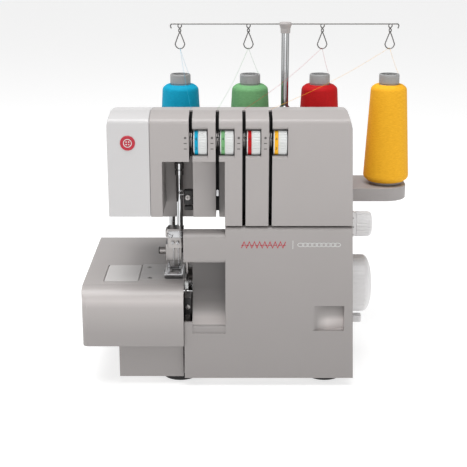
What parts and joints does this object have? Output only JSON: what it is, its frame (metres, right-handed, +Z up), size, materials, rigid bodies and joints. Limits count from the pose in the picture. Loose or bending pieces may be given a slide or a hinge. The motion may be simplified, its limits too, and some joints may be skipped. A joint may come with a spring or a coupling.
{
  "type": "serger overlock machine",
  "caption": "Tabletop overlock sewing machine with a free arm, colour-coded tension dials, a telescopic thread guide and thread cones on a rear stand.",
  "frame": {"origin": "on the table, below the middle of the whole machine's box", "axes": "+X to the operator's right (handwheel side), +Y away from the operator, +Z up"},
  "size_m": [0.362, 0.25, 0.3554],
  "materials": {
    "housing": "fine satin moulded",
    "pale_plastic": "satin moulded",
    "dial_drum": "ribbed, with a coloured band",
    "satin_steel": "satin",
    "chrome": "polished",
    "casting": "cast",
    "black_plastic": "satin",
    "rubber": "matte",
    "brass": "machined",
    "cone": "matte paper and plastic",
    "thread_blue": "cross-wound thread",
    "thread_green": "cross-wound thread",
    "thread_red": "cross-wound thread",
    "thread_yellow": "cross-wound thread"
  },
  "bodies": {
    "root": {"chassis_frame": "casting", "base_tray": "housing", "rear_cover": "housing", "tension_cover": "housing", "face_cover": "pale_plastic", "free_arm_cover": "housing", "needle_plate": "satin_steel", "lower_knife": "satin_steel", "presser_spring": "satin_steel", "motor": "casting", "drive_belt": "rubber", "power_inlet": "black_plastic", "spool_stand": "housing", "guide_post_outer": "chrome", "tension_discs_1": "satin_steel", "tension_discs_2": "satin_steel", "tension_discs_3": "satin_steel", "tension_discs_4": "satin_steel", "rubber_foot_front_left": "rubber", "rubber_foot_front_right": "rubber", "rubber_foot_rear_left": "rubber", "rubber_foot_rear_right": "rubber"},
    "plate_slide": {"cloth_plate": "housing", "plate_insert": "pale_plastic"},
    "cover_slide": {"cover_hinge_rod": "satin_steel"},
    "cover": {"looper_cover": "housing"},
    "presser": {"presser_bar": "chrome", "presser_foot_holder": "satin_steel"},
    "foot": {"presser_foot": "chrome"},
    "lifter": {"presser_lifter": "black_plastic"},
    "needles": {"needle_bar": "chrome", "needle_clamp": "satin_steel", "needle_left": "chrome", "needle_right": "chrome"},
    "looper_low": {"lower_looper": "chrome"},
    "looper_up": {"upper_looper": "chrome"},
    "feed": {"feed_dog": "satin_steel"},
    "knife": {"upper_knife": "satin_steel"},
    "drive": {"main_shaft": "satin_steel", "drive_pulley": "casting", "handwheel": "pale_plastic"},
    "motor_spindle": {"motor_pulley": "brass"},
    "length_dial": {"stitch_length_dial": "pale_plastic"},
    "feed_lever": {"differential_feed_lever": "pale_plastic"},
    "switch": {"power_switch": "black_plastic"},
    "guide": {"guide_post_inner": "chrome", "guide_head": "housing", "guide_wire": "chrome"},
    "cone_blue": {"cone_core_blue": "cone", "cone_thread_blue": "thread_blue"},
    "cone_green": {"cone_core_green": "cone", "cone_thread_green": "thread_green"},
    "cone_red": {"cone_core_red": "cone", "cone_thread_red": "thread_red"},
    "cone_yellow": {"cone_core_yellow": "cone", "cone_thread_yellow": "thread_yellow"},
    "dial_1": {"tension_dial_1": "dial_drum"},
    "dial_2": {"tension_dial_2": "dial_drum"},
    "dial_3": {"tension_dial_3": "dial_drum"},
    "dial_4": {"tension_dial_4": "dial_drum"}
  },
  "joints": [
    {"name": "cloth_plate_slide", "type": "slide", "parent": "root", "child": "plate_slide", "axis": [1, 0, 0], "range_m": [-0.11, 0]},
    {"name": "cover_slide", "type": "slide", "parent": "root", "child": "cover_slide", "axis": [1, 0, 0], "range_m": [0, 0.008]},
    {"name": "cover_hinge", "type": "hinge", "parent": "cover_slide", "child": "cover", "pos_m": [0, -0.114, 0.016], "axis": [1, 0, 0], "range_deg": [0, 85]},
    {"name": "presser_bar_slide", "type": "slide", "parent": "root", "child": "presser", "axis": [0, 0, 1], "range_m": [0, 0.0055], "deforming": ["presser_spring"]},
    {"name": "presser_foot_tilt", "type": "hinge", "parent": "presser", "child": "foot", "pos_m": [-0.088, -0.056, 0.1125], "axis": [-1, 0, 0], "range_deg": [0, 8]},
    {"name": "presser_lifter_turn", "type": "hinge", "parent": "root", "child": "lifter", "pos_m": [-0.0985, -0.03, 0.1725], "axis": [1, 0, 0], "range_deg": [0, 25.5]},
    {"name": "needle_bar_slide", "type": "slide", "parent": "root", "child": "needles", "axis": [0, 0, 1], "range_m": [-0.022, 0]},
    {"name": "lower_looper_swing", "type": "hinge", "parent": "root", "child": "looper_low", "pos_m": [-0.104, -0.079, 0.04], "axis": [0, 1, 0], "range_deg": [-12.5, 0]},
    {"name": "upper_looper_swing", "type": "hinge", "parent": "root", "child": "looper_up", "pos_m": [-0.058, -0.065, 0.05], "axis": [0, 1, 0], "range_deg": [0, 8.5]},
    {"name": "feed_dog_lift", "type": "slide", "parent": "root", "child": "feed", "axis": [0, 0, 1], "range_m": [0, 0.0016]},
    {"name": "upper_knife_slide", "type": "slide", "parent": "root", "child": "knife", "axis": [0, 0, 1], "range_m": [-0.0081, 0]},
    {"name": "handwheel_spin", "type": "hinge", "parent": "root", "child": "drive", "pos_m": [0, -0.041, 0.087], "axis": [1, 0, 0], "continuous": true},
    {"name": "motor_spin", "type": "hinge", "parent": "root", "child": "motor_spindle", "pos_m": [0.06, 0.005, 0.05], "axis": [1, 0, 0], "continuous": true},
    {"name": "stitch_length_turn", "type": "hinge", "parent": "root", "child": "length_dial", "pos_m": [0.11, -0.051, 0.1563], "axis": [1, 0, 0], "range_deg": [-135, 135]},
    {"name": "differential_feed_slide", "type": "slide", "parent": "root", "child": "feed_lever", "axis": [0, 0, 1], "range_m": [-0.016, 0]},
    {"name": "power_switch_rock", "type": "hinge", "parent": "root", "child": "switch", "pos_m": [0.09, 0.03, 0.083], "axis": [0, 1, 0], "range_deg": [-8, 8]},
    {"name": "guide_slide", "type": "slide", "parent": "root", "child": "guide", "axis": [0, 0, 1], "range_m": [-0.025, 0]},
    {"name": "cone_blue_spin", "type": "hinge", "parent": "root", "child": "cone_blue", "pos_m": [-0.086, 0.086, 0.2], "axis": [0, 0, 1], "continuous": true},
    {"name": "cone_green_spin", "type": "hinge", "parent": "root", "child": "cone_green", "pos_m": [-0.006, 0.086, 0.2], "axis": [0, 0, 1], "continuous": true},
    {"name": "cone_red_spin", "type": "hinge", "parent": "root", "child": "cone_red", "pos_m": [0.074, 0.086, 0.2], "axis": [0, 0, 1], "continuous": true},
    {"name": "cone_yellow_spin", "type": "hinge", "parent": "root", "child": "cone_yellow", "pos_m": [0.154, 0.086, 0.2], "axis": [0, 0, 1], "continuous": true},
    {"name": "tension_dial_1_turn", "type": "hinge", "parent": "root", "child": "dial_1", "pos_m": [-0.059, -0.1065, 0.2575], "axis": [1, 0, 0], "range_deg": [-140, 140]},
    {"name": "tension_dial_2_turn", "type": "hinge", "parent": "root", "child": "dial_2", "pos_m": [-0.03285, -0.1065, 0.2575], "axis": [1, 0, 0], "range_deg": [-140, 140]},
    {"name": "tension_dial_3_turn", "type": "hinge", "parent": "root", "child": "dial_3", "pos_m": [-0.0067, -0.1065, 0.2575], "axis": [1, 0, 0], "range_deg": [-140, 140]},
    {"name": "tension_dial_4_turn", "type": "hinge", "parent": "root", "child": "dial_4", "pos_m": [0.01945, -0.1065, 0.2575], "axis": [1, 0, 0], "range_deg": [-140, 140]}
  ],
  "couplings": [
    {"joint": "presser_lifter_turn", "follows": "presser_bar_slide", "rad_per_m": 79.33},
    {"joint": "lower_looper_swing", "follows": "needle_bar_slide", "rad_per_m": 9.52},
    {"joint": "upper_looper_swing", "follows": "needle_bar_slide", "rad_per_m": -6.35},
    {"joint": "feed_dog_lift", "follows": "needle_bar_slide", "ratio": -0.0682},
    {"joint": "upper_knife_slide", "follows": "needle_bar_slide", "ratio": 0.3636},
    {"joint": "motor_spin", "follows": "handwheel_spin", "ratio": 2.7778}
  ]
}
